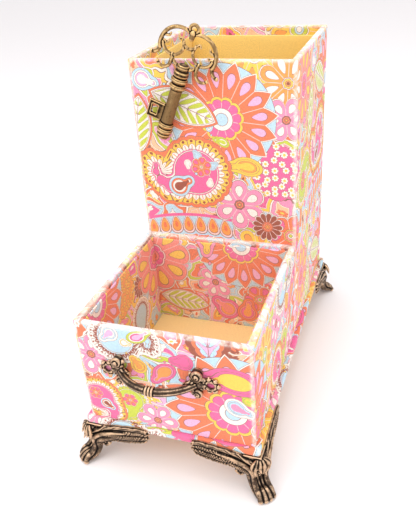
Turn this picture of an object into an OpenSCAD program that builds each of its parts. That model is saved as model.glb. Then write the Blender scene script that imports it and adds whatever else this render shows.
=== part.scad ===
// Desk organiser: a tall open box and a low tray box on a footed base board.
// X runs across, Y from front to back and Z up, with the soles at Z = 0.

/* [Boxes] */
// Outside width of both boxes
box_w = 102; // [90:1:120]
// Outside depth of the tall box, front to back
tall_d = 105; // [90:1:130]
// Height of the tall box above the base
tall_h = 185; // [150:1:220]
// Outside depth of the tray, front to back
tray_d = 108; // [90:1:130]
// Height of the tray above the base
tray_h = 70; // [60:1:90]

/* [Board and fabric] */
// Thickness of the wall and floor boards
board_t = 2.4; // [1.6:0.1:3]
// Thickness of the glued covering fabric
fabric_t = 0.6; // [0.4:0.1:0.8]
// Thickness of a fabric-covered lining panel
liner_t = 1.2; // [0.8:0.1:2]
// How far the covering turns in below each rim
turn_in = 12; // [10:1:16]
// How far the covering turns under each box and the base
turn_under = 15; // [10:1:20]
// How far the tall box's lining stops below its rim
tall_liner_drop = 6; // [3:0.5:9]
// How far the tray's lining stops below its rim
tray_liner_drop = 2.5; // [2:0.5:9]

/* [Base] */
// Thickness of the base board
base_board_t = 3.8; // [3:0.1:5]
// Margin of the base beside the boxes
side_margin = 3; // [1:0.5:6]
// Margin of the base in front of the tray
front_margin = 2; // [1:0.5:6]
// Margin of the base behind the tall box
back_margin = 3; // [1:0.5:6]
// Inset of the underside lining from the base's edge
underside_inset = 4; // [2:0.5:8]

/* [Feet] */
// Height of the feet below the base's edge
foot_h = 28.6; // [22:0.2:34]
// How far the middle toes reach past the base's corner, along X and along Y
toe_reach = 6.8; // [5:0.1:9]
// Length of each foot's wing along the base's edge
wing_l = 42; // [36:1:46]
// Thickness of a wing outside the base's edge
wing_t = 2.6; // [2:0.1:3]
// How far a wing's upper rim climbs the base's edge
wing_rise = 2.8; // [2:0.1:4]

/* [Pull handle] */
// Distance between the centres of the two nail holes
pull_span = 60.5; // [50:0.5:66]
// How far the pull stands out from the tray's front
pull_reach = 16.5; // [15.5:0.1:20]
// Height of the pull's holes above the base
pull_z = 41.5; // [30:0.5:45]
// Offset of the pull's middle from the tray's middle
pull_x = -2.4; // [-5:0.2:5]
// Radius of the pull's bar
pull_bar_r = 2.3; // [1.8:0.1:2.6]
// Radius of each nail hole
nail_hole_r = 1.6; // [1:0.1:2]

/* [Key] */
// Lean of the key from upright, towards the right
key_lean = 22.5; // [0:0.5:35]
// Place of the key's tip across the tall box
key_tip_x = -31.6; // [-40:0.2:10]
// Height of the key's tip above the base
key_tip_z = 138.9; // [110:0.5:145]
// Radius of the key's barrel
barrel_r = 3.6; // [3:0.1:4]
// Outer radius of the key's collars
collar_r = 5; // [4.6:0.1:5.4]
// Radius of the key's bow wire
bow_r = 1.15; // [1:0.05:1.4]

/* [Hidden] */

// Heights
base_edge_t = base_board_t + 2 * fabric_t;
base_z = foot_h;
base_top = base_z + base_edge_t;
pad_t = 1.6;

// Toes: their size, their spacing, and where the middle and the outer ones end along the diagonal
toe_size = 2.1;
toe_gap = 2.5;
middle_toe_r = toe_reach * sqrt(2) - toe_size;
outer_toe_r = middle_toe_r - 1;
paw_reach = (outer_toe_r + 1.5 * toe_gap) / sqrt(2) + toe_size;

// Depths: the origin is midway between the frontmost and the rearmost points
back_reach = tray_d + tall_d + back_margin + paw_reach;
front_reach = max(pull_reach, front_margin + paw_reach);
tray_y = front_reach - (front_reach + back_reach) / 2;
tall_y = tray_y + tray_d;
base_w = box_w + 2 * side_margin;
base_d = front_margin + tray_d + tall_d + back_margin;
base_y = tray_y - front_margin;

// Colours
paper = "tan";
print_coral = "salmon";
print_pink = "hotpink";
plain_yellow = "khaki";
old_bronze = "saddlebrown";
eps = 0.01;

// ---------- flat stock ----------

// A box with its left front bottom corner at the given place
module block(place, size) {
    translate(place) cube(size);
}

// A rectangular band whose outside is inset by a and whose inside is inset by b
module band(w, d, a, b, z0, z1) {
    translate([0, 0, z0])
        linear_extrude(z1 - z0)
            difference() {
                translate([a, a]) square([w - 2 * a, d - 2 * a]);
                translate([b, b]) square([w - 2 * b, d - 2 * b]);
            }
}

// Puts a box's own corner at its place on the base
module on_base(y) {
    translate([-box_w / 2, y, base_top]) children();
}

// ---------- one covered box, drawn from its left front bottom corner ----------

// Fabric outside the walls, over the rim, down inside and under the floor
module box_cover(d, h) {
    inner = board_t + 2 * fabric_t;
    union() {
        band(box_w, d, 0, fabric_t, 0, h);
        band(box_w, d, fabric_t - eps, inner, h - fabric_t, h);
        band(box_w, d, inner - fabric_t, inner, h - turn_in, h - fabric_t + eps);
        band(box_w, d, fabric_t - eps, turn_under, 0, fabric_t);
    }
}

// Front or back board, across the full width
module cross_board(y, h) {
    block([fabric_t, y, fabric_t], [box_w - 2 * fabric_t, board_t, h - 2 * fabric_t]);
}

// Left or right board, between the front and the back boards
module side_board(x, d, h) {
    edge = fabric_t + board_t;
    block([x, edge, fabric_t], [board_t, d - 2 * edge, h - 2 * fabric_t]);
}

module floor_board(d) {
    edge = fabric_t + board_t;
    block([edge, edge, fabric_t], [box_w - 2 * edge, d - 2 * edge, board_t]);
}

// Front or back lining panel, over the turned-in fabric
module cross_liner(y, h, drop) {
    edge = 2 * fabric_t + board_t;
    floor_z = fabric_t + board_t;
    block([edge, y, floor_z], [box_w - 2 * edge, liner_t, h - drop - floor_z]);
}

// Left or right lining panel, between the front and the back panels
module side_liner(x, d, h, drop) {
    edge = 2 * fabric_t + board_t + liner_t;
    floor_z = fabric_t + board_t;
    block([x, edge, floor_z], [liner_t, d - 2 * edge, h - drop - floor_z]);
}

module floor_liner(d) {
    edge = 2 * fabric_t + board_t + liner_t;
    block([edge, edge, fabric_t + board_t], [box_w - 2 * edge, d - 2 * edge, liner_t]);
}

// Where the far boards and panels of a wall of length l start
function far_board(l) = l - fabric_t - board_t;
function near_liner() = 2 * fabric_t + board_t;
function far_liner(l) = l - near_liner() - liner_t;

// ---------- base ----------

module base_board() {
    color(paper)
        block([-base_w / 2 + fabric_t, base_y + fabric_t, base_z + fabric_t],
              [base_w - 2 * fabric_t, base_d - 2 * fabric_t, base_board_t]);
}

// Fabric over the top and the edges, turned under all round
module base_cover() {
    color(print_pink)
        translate([-base_w / 2, base_y, base_z])
            difference() {
                cube([base_w, base_d, base_edge_t]);
                block([fabric_t, fabric_t, fabric_t],
                      [base_w - 2 * fabric_t, base_d - 2 * fabric_t, base_board_t]);
                block([turn_under, turn_under, -1],
                      [base_w - 2 * turn_under, base_d - 2 * turn_under, 1 + 2 * fabric_t]);
            }
}

module base_underside_liner() {
    color(plain_yellow)
        block([-base_w / 2 + underside_inset, base_y + underside_inset, base_z - fabric_t],
              [base_w - 2 * underside_inset, base_d - 2 * underside_inset, fabric_t]);
}

// ---------- tall box ----------

module tall_front_board() {
    color(paper) on_base(tall_y) cross_board(fabric_t, tall_h);
}

module tall_back_board() {
    color(paper) on_base(tall_y) cross_board(far_board(tall_d), tall_h);
}

module tall_left_board() {
    color(paper) on_base(tall_y) side_board(fabric_t, tall_d, tall_h);
}

module tall_right_board() {
    color(paper) on_base(tall_y) side_board(far_board(box_w), tall_d, tall_h);
}

module tall_floor_board() {
    color(paper) on_base(tall_y) floor_board(tall_d);
}

module tall_cover() {
    color(print_coral) on_base(tall_y) box_cover(tall_d, tall_h);
}

module tall_front_liner() {
    color(plain_yellow) on_base(tall_y) cross_liner(near_liner(), tall_h, tall_liner_drop);
}

module tall_back_liner() {
    color(plain_yellow) on_base(tall_y) cross_liner(far_liner(tall_d), tall_h, tall_liner_drop);
}

module tall_left_liner() {
    color(plain_yellow) on_base(tall_y) side_liner(near_liner(), tall_d, tall_h, tall_liner_drop);
}

module tall_right_liner() {
    color(plain_yellow) on_base(tall_y) side_liner(far_liner(box_w), tall_d, tall_h, tall_liner_drop);
}

module tall_floor_liner() {
    color(plain_yellow) on_base(tall_y) floor_liner(tall_d);
}

// ---------- tray ----------

module tray_front_board() {
    color(paper) on_base(tray_y) cross_board(fabric_t, tray_h);
}

module tray_back_board() {
    color(paper) on_base(tray_y) cross_board(far_board(tray_d), tray_h);
}

module tray_left_board() {
    color(paper) on_base(tray_y) side_board(fabric_t, tray_d, tray_h);
}

module tray_right_board() {
    color(paper) on_base(tray_y) side_board(far_board(box_w), tray_d, tray_h);
}

module tray_floor_board() {
    color(paper) on_base(tray_y) floor_board(tray_d);
}

module tray_cover() {
    color(print_coral) on_base(tray_y) box_cover(tray_d, tray_h);
}

module tray_front_liner() {
    color(print_pink) on_base(tray_y) cross_liner(near_liner(), tray_h, tray_liner_drop);
}

module tray_back_liner() {
    color(print_pink) on_base(tray_y) cross_liner(far_liner(tray_d), tray_h, tray_liner_drop);
}

module tray_left_liner() {
    color(print_pink) on_base(tray_y) side_liner(near_liner(), tray_d, tray_h, tray_liner_drop);
}

module tray_right_liner() {
    color(print_pink) on_base(tray_y) side_liner(far_liner(box_w), tray_d, tray_h, tray_liner_drop);
}

module tray_floor_liner() {
    color(plain_yellow) on_base(tray_y) floor_liner(tray_d);
}

// ---------- cast pull, drawn between its holes with the wall at Y = 0 ----------

// A ring round the given axis, with an outer radius r and a wire of radius wire
module ring(r, wire, turn = 360) {
    rotate_extrude(angle = turn, $fn = 64)
        translate([r - wire, 0])
            circle(r = wire, $fn = 24);
}

// Lobed end plate with its nail hole
module rosette() {
    lobe_r = 1.9;
    rotate([90, 0, 0])
        difference() {
            union() {
                cylinder(h = 2.2, r = 4, $fn = 48);
                for (a = [0:60:300])
                    rotate([0, 0, a])
                        translate([3.9, 0, 0])
                            cylinder(h = 1.8, r = lobe_r, $fn = 32);
            }
            translate([0, 0, -1])
                cylinder(h = 5, r = nail_hole_r, $fn = 32);
        }
}

// One end of the pull, with its middle towards inward (1 or -1): rosette, neck and the two volutes
module pull_end(inward) {
    neck_outline = [[3.8, -2.6], [7.8, -6.4], [9.8, -5], [10.8, 0], [9.8, 6.5], [7.4, 7.6], [3.8, 2.6]];
    rosette();
    rotate([90, 0, 0])
        linear_extrude(2.6)
            polygon([for (p = neck_outline) [inward * p[0], p[1]]]);
    translate([inward * 7.2, -3.4, 7.2])
        rotate([90, 0, 0])
            ring(3.6, 1.5);
    translate([inward * 7.4, -2.6, -6.4])
        rotate([90, 0, 0])
            ring(2.9, 1.25);
}

module pull_handle() {
    half = pull_span / 2;
    root_x = half - 9;
    root_y = 3.4;
    centre_ring = pull_bar_r + 0.7;
    sag = pull_reach - centre_ring - root_y;
    arc_r = (root_x * root_x + sag * sag) / (2 * sag);
    arc_half = asin(root_x / arc_r);
    color(old_bronze)
        translate([pull_x, tray_y, base_top + pull_z])
            union() {
                translate([-half, 0, 0]) pull_end(1);
                translate([half, 0, 0]) pull_end(-1);
                translate([0, arc_r - root_y - sag, 0])
                    rotate([0, 0, 270 - arc_half])
                        ring(arc_r + pull_bar_r, pull_bar_r, 2 * arc_half);
                for (step = [-1:1])
                    translate([1.9 * step, -root_y - sag, 0])
                        rotate([0, 90, 0])
                            ring(centre_ring, 0.9);
            }
}

// ---------- cast key, drawn upright in XZ from its tip at the origin ----------

// A stretch of bow wire: an arc round a centre in the key's own plane
module bow_arc(centre, r, from, to) {
    translate([centre[0], 0, centre[1]])
        rotate([90, 0, 0])
            rotate([0, 0, from])
                ring(r + bow_r, bow_r, to - from);
}

// A round end or joint of the bow wire
module bow_knot(place, r) {
    translate([place[0], 0, place[1]]) sphere(r = r, $fn = 24);
}

// A straight stretch of bow wire
module bow_bar(from, to, r) {
    run = to - from;
    translate([from[0], 0, from[1]])
        rotate([0, atan2(run[0], run[1]), 0])
            cylinder(h = norm(run), r = r, $fn = 24);
}

// Right half of the bow: crescent, loop and the two outward curls
module half_bow() {
    crescent = [6, 55.8];
    crescent_r = 11.15;
    loop = [9.3, 57];
    loop_r = 6.3;
    curl = [12.3, 46.3];
    curl_r = 4.1;
    stem_r = bow_r + 0.25;
    bow_arc(crescent, crescent_r, -20, 123);
    bow_knot(crescent + crescent_r * [cos(-20), sin(-20)], stem_r);
    bow_arc([20.7, 52], 4.2, 180, 270);
    bow_knot([20.7, 47.8], stem_r);
    bow_arc(loop, loop_r, 150, 346);
    bow_knot(loop + loop_r * [cos(150), sin(150)], bow_r + 0.15);
    bow_arc(curl, curl_r, 182, 320);
    bow_knot(curl + curl_r * [cos(320), sin(320)], stem_r);
    bow_bar([8.2, 45.8], [8.4, 51], stem_r);
    bow_bar([1, 45], [8.3, 49.2], bow_r);
    bow_bar([0, 57], [3, 57], bow_r);
}

// Outline of the barrel with its round tip, four collars and tapered cup, for turning about Z
module barrel_outline() {
    cup_z = 40;
    cup_top = 47.5;
    intersection() {
        union() {
            translate([0, 4.2]) circle(r = 4.2, $fn = 48);
            translate([0, 4.2]) square([barrel_r, cup_z - 4.2]);
            translate([0, 34.5]) square([barrel_r + 0.5, 6]);
            polygon([[0, cup_z], [barrel_r + 0.9, cup_z], [barrel_r, cup_top], [0, cup_top]]);
            for (z = [4.8, 9.2, 35, 39.7])
                translate([collar_r - 1.7, z]) circle(r = 1.7, $fn = 32);
        }
        square([collar_r + 1, cup_top + 1]);
    }
}

module key_ornament() {
    bit_w = 13.5;
    bit_t = 2.6;
    color(old_bronze)
        translate([key_tip_x, tall_y - collar_r, base_top + key_tip_z])
            rotate([0, key_lean, 0])
                union() {
                    rotate_extrude($fn = 64) barrel_outline();
                    difference() {
                        block([-bit_w, -bit_t / 2, 10.5], [bit_w, bit_t, 10.5]);
                        block([-11.7, -bit_t, 13.4], [4.4, 2 * bit_t, 5.4]);
                    }
                    half_bow();
                    mirror([1, 0, 0]) half_bow();
                    bow_knot([0, 65.2], 1.9);
                    translate([0, 0, 68.5]) rotate([90, 0, 0]) ring(3.4, 0.95);
                }
}

// ---------- cast corner foot, drawn with the base's corner at the origin ----------
// The base lies towards -X and -Y, its lower edge at Z = 0, and the toes point out at 45 degrees.

// Height of a wing's upper rim and of its lower edge, at a share u of its length from the corner
function wing_top(u) = wing_rise * min(1, 4 * u) * (1 - 0.15 * u);
function wing_low(u) = -14 + 8.5 * pow(u, 0.7) - 1.5 * sin(180 * u);
wing_steps = 10;

module wing() {
    corner_end = [[wing_t, wing_low(0)], [wing_t, wing_top(0)]];
    upper = [for (i = [0:wing_steps]) [-wing_l * i / wing_steps, wing_top(i / wing_steps)]];
    lower = [for (i = [wing_steps:-1:0]) [-wing_l * i / wing_steps, wing_low(i / wing_steps)]];
    translate([0, wing_t, 0])
        rotate([90, 0, 0])
            linear_extrude(wing_t)
                polygon(concat(corner_end, upper, lower));
}

// A ball on the foot's diagonal plane: r outward along the diagonal, z up and w across
module leg_ball(r, z, w, size) {
    rotate([0, 0, 45])
        translate([r, w, z])
            sphere(r = size, $fn = 20);
}

// A flat disc on the floor under a toe
module toe_sole(r, w, size) {
    rotate([0, 0, 45])
        translate([r, w, -foot_h])
            cylinder(h = 0.4, r = size, $fn = 20);
}

// Knee, ankle and paw: three rounded stretches that run into each other
module foot() {
    pad = 20;
    heel_z = -foot_h + 4.6;
    toe_z = -foot_h + toe_size + 0.3;
    union() {
        wing();
        mirror([1, -1, 0]) wing();
        translate([0, 0, -fabric_t - pad_t])
            linear_extrude(pad_t)
                polygon([[wing_t, wing_t], [-pad, wing_t], [-pad, 0], [0, -pad], [wing_t, -pad]]);
        hull() {
            leg_ball(0.2, -5.2, 0, 4);
            leg_ball(-4.6, -5.4, 0, 3.2);
            leg_ball(-2.6, -15.5, 1.8, 3.1);
            leg_ball(-2.6, -15.5, -1.8, 3.1);
        }
        hull() {
            leg_ball(-2.7, -14.6, 1.7, 2.9);
            leg_ball(-2.7, -14.6, -1.7, 2.9);
            leg_ball(0.8, heel_z + 0.7, 2, 3.1);
            leg_ball(0.8, heel_z + 0.7, -2, 3.1);
        }
        hull() {
            leg_ball(0.6, heel_z, 2.3, 2.9);
            leg_ball(0.6, heel_z, -2.3, 2.9);
            for (toe = [-1.5:1:1.5]) {
                toe_r = abs(toe) > 1 ? outer_toe_r : middle_toe_r;
                leg_ball(toe_r, toe_z, toe_gap * toe, toe_size);
                toe_sole(toe_r - 0.4, toe_gap * toe, 1.5);
            }
            toe_sole(0.5, 2.4, 1.5);
            toe_sole(0.5, -2.4, 1.5);
        }
    }
}

// Puts a foot under the corner that lies towards x_side and y_side
module foot_at(x_side, y_side) {
    corner_y = y_side < 0 ? base_y : base_y + base_d;
    color(old_bronze)
        translate([x_side * base_w / 2, corner_y, base_z])
            mirror([x_side < 0 ? 1 : 0, 0, 0])
                mirror([0, y_side < 0 ? 1 : 0, 0])
                    foot();
}

module foot_front_left() {
    foot_at(-1, -1);
}

module foot_front_right() {
    foot_at(1, -1);
}

module foot_back_left() {
    foot_at(-1, 1);
}

module foot_back_right() {
    foot_at(1, 1);
}

base_board();
base_cover();
base_underside_liner();
tall_front_board();
tall_back_board();
tall_left_board();
tall_right_board();
tall_floor_board();
tall_cover();
tall_front_liner();
tall_back_liner();
tall_left_liner();
tall_right_liner();
tall_floor_liner();
tray_front_board();
tray_back_board();
tray_left_board();
tray_right_board();
tray_floor_board();
tray_cover();
tray_front_liner();
tray_back_liner();
tray_left_liner();
tray_right_liner();
tray_floor_liner();
pull_handle();
key_ornament();
foot_front_left();
foot_front_right();
foot_back_left();
foot_back_right();
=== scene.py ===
import math
import bmesh
import bpy
import numpy as np
from mathutils import Matrix, Vector


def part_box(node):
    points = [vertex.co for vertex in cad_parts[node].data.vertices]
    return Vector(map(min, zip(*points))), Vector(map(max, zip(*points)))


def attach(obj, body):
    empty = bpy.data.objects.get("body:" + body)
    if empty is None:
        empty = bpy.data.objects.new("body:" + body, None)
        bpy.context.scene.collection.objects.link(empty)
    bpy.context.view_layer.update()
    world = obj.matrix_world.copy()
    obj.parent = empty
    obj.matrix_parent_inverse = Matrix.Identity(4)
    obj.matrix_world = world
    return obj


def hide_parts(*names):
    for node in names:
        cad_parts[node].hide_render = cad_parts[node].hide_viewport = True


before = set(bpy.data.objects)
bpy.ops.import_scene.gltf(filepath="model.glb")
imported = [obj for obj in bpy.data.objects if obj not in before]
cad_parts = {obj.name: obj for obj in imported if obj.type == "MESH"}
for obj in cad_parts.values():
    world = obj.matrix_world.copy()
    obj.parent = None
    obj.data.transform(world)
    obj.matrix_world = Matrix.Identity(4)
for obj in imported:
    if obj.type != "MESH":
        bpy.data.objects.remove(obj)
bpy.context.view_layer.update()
scene = bpy.context.scene
mm = 0.001
print("frame:", len(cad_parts), "CAD nodes")

palette = {
    "coral": (0.96, 0.53, 0.38),
    "salmon": (0.98, 0.60, 0.56),
    "hotPink": (0.96, 0.46, 0.65),
    "pink": (0.98, 0.62, 0.75),
    "palePink": (0.98, 0.74, 0.87),
    "blush": (0.99, 0.87, 0.85),
    "yellow": (1.0, 0.83, 0.38),
    "orange": (0.99, 0.67, 0.38),
    "peach": (1.0, 0.80, 0.64),
    "lime": (0.82, 0.86, 0.34),
    "sky": (0.77, 0.89, 0.95),
    "cream": (0.99, 0.96, 0.92),
    "brown": (0.66, 0.38, 0.31),
    "ink": (0.64, 0.47, 0.43),
    "lining": (1.0, 0.86, 0.50),
    "underLining": (1.0, 0.79, 0.57),
    "peachLining": (1.0, 0.88, 0.61),
    "bronzeDark": (0.10, 0.08, 0.07),
    "bronze": (0.32, 0.26, 0.215),
    "copper": (0.83, 0.70, 0.57),
    "brassDark": (0.17, 0.12, 0.07),
    "brass": (0.54, 0.43, 0.28),
    "brassBright": (0.86, 0.72, 0.50),
    "boardDark": (0.4845, 0.41, 0.3318),
    "boardPale": (0.6343, 0.5657, 0.4845),
    "floorDark": (0.9547, 0.9476, 0.9509),
    "floorPale": (0.9686, 0.9617, 0.9649),
}


def colour(name):
    return tuple(c / 12.92 if c <= 0.04045 else ((c + 0.055) / 1.055) ** 2.4 for c in palette[name]) + (1.0,)


# Node wires: a pattern is written as a sum of these


class Wire:
    def __init__(self, tree, socket):
        self.tree = tree
        self.socket = socket

    def math(self, operation, *others):
        return addNode(self.tree, "ShaderNodeMath", (self, *others), operation=operation)

    def vector(self, operation, *others, out=0):
        return addNode(self.tree, "ShaderNodeVectorMath", (self, *others), out, operation=operation)

    def __add__(self, other):
        return self.math("ADD", other)

    def __sub__(self, other):
        return self.math("SUBTRACT", other)

    def __rsub__(self, other):
        return addNode(self.tree, "ShaderNodeMath", (other, self), operation="SUBTRACT")

    def __mul__(self, other):
        return self.math("MULTIPLY", other)

    def __truediv__(self, other):
        return self.math("DIVIDE", other)

    def below(self, other):
        return self.math("LESS_THAN", other)

    def above(self, other):
        return self.math("GREATER_THAN", other)

    def zigzag(self, half=0.5):
        return self.math("PINGPONG", half) * (1 / half)

    __radd__ = __add__
    __rmul__ = __mul__


def plug(tree, value, socket):
    if isinstance(value, Wire):
        tree.links.new(value.socket, socket)
    elif isinstance(value, str):
        socket.default_value = colour(value)
    else:
        socket.default_value = value


def addNode(tree, kind, values=(), out=0, **settings):
    node = tree.nodes.new(kind)
    for key, value in settings.items():
        setattr(node, key, value)
    for value, socket in zip(values, node.inputs):
        plug(tree, value, socket)
    return Wire(tree, node.outputs[out])


def paint(under, mask, over):
    node = under.tree.nodes.new("ShaderNodeMix")
    node.data_type = "RGBA"
    plug(under.tree, mask, node.inputs[0])
    plug(under.tree, under, node.inputs[6])
    plug(under.tree, over, node.inputs[7])
    return Wire(under.tree, node.outputs[2])


def flat(tree, name):
    node = tree.nodes.new("ShaderNodeRGB")
    node.outputs[0].default_value = colour(name)
    return Wire(tree, node.outputs[0])


def beginGroup(name, inks=()):
    tree = bpy.data.node_groups.new(name, "ShaderNodeTree")
    tree.interface.new_socket("place", in_out="INPUT", socket_type="NodeSocketVector")
    for ink in inks:
        tree.interface.new_socket(ink, in_out="INPUT", socket_type="NodeSocketColor")
    tree.interface.new_socket("colour", in_out="OUTPUT", socket_type="NodeSocketColor")
    tree.interface.new_socket("mask", in_out="OUTPUT", socket_type="NodeSocketFloat")
    start = tree.nodes.new("NodeGroupInput")
    return tree, [Wire(tree, socket) for socket in start.outputs[: 1 + len(inks)]]


def endGroup(tree, shade, mask):
    end = tree.nodes.new("NodeGroupOutput")
    plug(tree, shade, end.inputs[0])
    plug(tree, mask, end.inputs[1])
    return tree


def split(place):
    node = place.tree.nodes.new("ShaderNodeSeparateXYZ")
    plug(place.tree, place, node.inputs[0])
    return Wire(place.tree, node.outputs[0]), Wire(place.tree, node.outputs[1])


def polar(place):
    x, y = split(place)
    return place.vector("LENGTH", out=1), y.math("ARCTAN2", x)


def ringOf(waves, angle):
    return (angle * (waves / (2 * math.pi))).zigzag()  # 0 on a petal's middle line, 1 between petals


def roundTop(wave):
    return (1 - wave * wave).math("SQRT")


def circles(place, spots, blend):
    # joined circles, each (x, y, radius): above 0 inside
    shape = None
    for x, y, radius in spots:
        ring = radius - place.vector("DISTANCE", (x, y, 0), out=1)
        shape = ring if shape is None else shape.math("SMOOTH_MAX", ring, blend)
    return shape


def noise(tree, place, scale, detail=2.0, out="Fac", dimensions="2D"):
    node = tree.nodes.new("ShaderNodeTexNoise")
    node.noise_dimensions = dimensions
    node.inputs["Scale"].default_value = scale
    node.inputs["Detail"].default_value = detail
    if place:
        plug(tree, place, node.inputs["Vector"])
    return Wire(tree, node.outputs[out])


def cells(tree, place, size, unevenness, feature="F1"):
    node = tree.nodes.new("ShaderNodeTexVoronoi")
    node.voronoi_dimensions = "2D"
    node.feature = feature
    node.inputs["Scale"].default_value = 1 / size
    node.inputs["Randomness"].default_value = unevenness
    plug(tree, place, node.inputs["Vector"])
    return node


def ramp(mask, inks, places=None):
    # equal steps of plain colour, or a smooth blend where places are given
    node = mask.tree.nodes.new("ShaderNodeValToRGB")
    node.color_ramp.interpolation = "LINEAR" if places else "CONSTANT"
    stops = node.color_ramp.elements
    while len(stops) < len(inks):
        stops.new(0.5)
    for i, ink in enumerate(inks):
        stops[i].position = places[i] if places else i / len(inks)
        stops[i].color = colour(ink)
    plug(mask.tree, mask, node.inputs[0])
    return Wire(mask.tree, node.outputs[0])


def coats(shade, *steps):
    # (mask, colour), or (depth, level, colour, line) for a shape with a drawn outline
    for step in steps:
        if len(step) == 4:
            depth, level, ink, line = step
            shade = paint(shade, depth.above(level), "ink")
            shade = paint(shade, depth.above(level + line), ink)
        else:
            shade = paint(shade, *step)
    return shade


# The printed motifs, each drawn in millimetres round its own middle

hairline = 0.32
petalEdge = 0.85


def flowerGroup(name, petals, reach, valley, ring, petal, drop, frill, heart, core, eye, pointed=False,
                back=None, dropSize=0.36):
    tree, (place,) = beginGroup(name)
    r, angle = polar(place)
    wave = ringOf(petals, angle)
    line = wave * (valley - 1) + 1 if pointed else roundTop(wave) * (1 - valley) + valley
    depth = outer = line * reach - r
    if back:  # a plain disc shows between the petal points
        backing = reach * 0.95 - r
        outer = depth.math("MAXIMUM", backing)
        shade = coats(flat(tree, "ink"), (backing.above(hairline), back), (depth, -hairline, "cream", hairline))
    else:
        shade = paint(flat(tree, "ink"), depth.above(hairline), "cream")
    across = r * wave * (math.pi / petals)
    seam = r * (math.pi / petals) - across
    inPetal = depth.above(petalEdge + hairline)
    middle = (ring + reach * (valley + 1) / 2) / 2 + 1
    along = (r - middle) / ((reach * (valley + 1) / 2 - ring) * dropSize)
    wide = (along * 0.45 + 1) * (middle * math.pi / petals * 0.46)
    inDrop = (along * along + (across / wide) * (across / wide)).math("SQRT")
    scallop = ringOf(max(7, round(petals * 0.7)), angle)
    rim = (roundTop(scallop) * 0.16 + 0.86) * ring - r
    shade = coats(
        shade,
        (depth.above(petalEdge), "ink"),
        (inPetal, "blush"),
        (inPetal * seam.above(0.17), petal),
        (inDrop.below(1.12), "ink"),
        (inDrop.below(1.02), drop),
        (rim, -hairline, frill, hairline),
        (rim, ring * 0.11, heart, hairline),
        ((scallop * r * 0.25).above(r * 0.235) * rim.above(ring * 0.15), "blush"),
        (ring * 0.52 - r, 0, core, hairline),
        (ring * 0.30 - r, 0, eye, hairline),
    )
    return endGroup(tree, shade, outer.above(0))


def paisleyGroup(name, scallop, petal, dot, inner, line, field):
    tree, (place,) = beginGroup(name)
    angle = polar(place)[1]
    outside = circles(place, [(0, 0, 22), (-13, -5, 16.5), (-23, -1, 11.5), (-27, 6, 7.5)], 4)
    curl = [(0, 0, 12.5), (-10, -8, 5.8), (-16, -8.5, 4), (-21.5, -6, 2.8), (-24.5, -1, 1.9), (-24, 3, 1.2)]
    inside = circles(place, curl, 3)
    share = outside / (outside - inside)  # 0 at the outline, 1 where the field starts
    inTail = split(place)[0].below(-14)
    tailAngle = polar(place.vector("SUBTRACT", (-22, -1, 0)))[1]
    wave = (angle * (23 / (2 * math.pi)) * (1 - inTail) + tailAngle * (13 / (2 * math.pi)) * inTail).zigzag()
    top = roundTop(wave)
    rim = share + (top - 1) * 0.13
    dotAt = (share - 0.36) / 0.085
    tongue = share - 0.50 - wave * wave * 0.26
    shade = coats(
        flat(tree, "ink"),
        (rim.above(0.03), scallop),
        (rim - wave * 0.06, 0.20, petal, 0.025),
        ((dotAt * dotAt + wave * wave * 9).below(1), dot),
        (tongue, 0, inner, 0.03),
        (wave.above(0.9) * share.above(0.3), "ink"),
        (wave.below(0.1) * tongue.above(0.09), scallop),
        (share - top * 0.08, 0.79, field, 0.02),
        (share.above(0.93), line),
        (inside, -0.3, field, 0.3),
    )
    return endGroup(tree, shade, rim.above(0))


def dropGroup():
    tree, (place, outer, line, inner, heart) = beginGroup("drop", ("outer", "line", "inner", "heart"))
    shape = circles(place, [(0, 0, 10), (10, 4, 5.5), (18, 10, 1.5)], 6)
    core = circles(place, [(-0.5, -0.3, 3.6), (5, 1.6, 1.6), (9, 3.9, 0.5)], 7)
    shade = coats(
        flat(tree, "ink"),
        (shape.above(0.4), outer),
        (shape, 2.4, line, 0.3),
        (shape, 3.9, inner, 0.3),
        (core.above(-0.3), heart),
    )
    return endGroup(tree, shade, shape.above(0))


def lensGroup(name, border, trim, field, leaf, scalloped=False):
    # a pointed panel along x with a row of slanting leaves on each side of its middle line
    tree, (place,) = beginGroup(name)
    x, y = split(place)
    bow, offset = 36, 23
    high, low = (bow - place.vector("DISTANCE", (0, to, 0), out=1) for to in (-offset, offset))
    depth = high.math("MINIMUM", low)
    side = y.math("ABSOLUTE")
    if scalloped:
        depth = depth + roundTop((x * 0.2).zigzag()) * 1.4
    edge = 3.4 if scalloped else 1.4
    across = 1 - ((x - side * 1.1) / 7).zigzag()
    near = (5.2 - side) / 4.9
    leafLine = near * near + across * across * 1.9
    inField = depth.above(edge * 1.7 + 0.6)
    shade = coats(
        flat(tree, "ink"),
        (depth.above(hairline), border),
        (depth, edge, trim, hairline),
        (depth, edge * 1.7, field, hairline),
        (leafLine.below(1.0) * inField, "ink"),
        (leafLine.below(0.84) * inField, leaf),
        (side.below(0.22) * inField, "ink"),
    )
    return endGroup(tree, shade, depth.above(0))


def daisyGroup(name, ground, petal, middle):
    # small daisies scattered in a blob
    tree, (place,) = beginGroup(name)
    r, angle = polar(place)
    edge = roundTop(ringOf(7, angle)) * 2.2 + 14 - r
    centre = Wire(tree, cells(tree, place, 4.7, 0.62).outputs["Position"])
    near, turn = polar(place.vector("SUBTRACT", centre))
    star = roundTop(ringOf(7, turn)) * 0.9 + 1.0 - near
    shade = coats(
        flat(tree, "ink"),
        (edge.above(hairline), ground),
        (star, -0.28, petal, 0.28),
        (near.below(0.75), middle),
    )
    return endGroup(tree, shade, edge.above(0))


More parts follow.
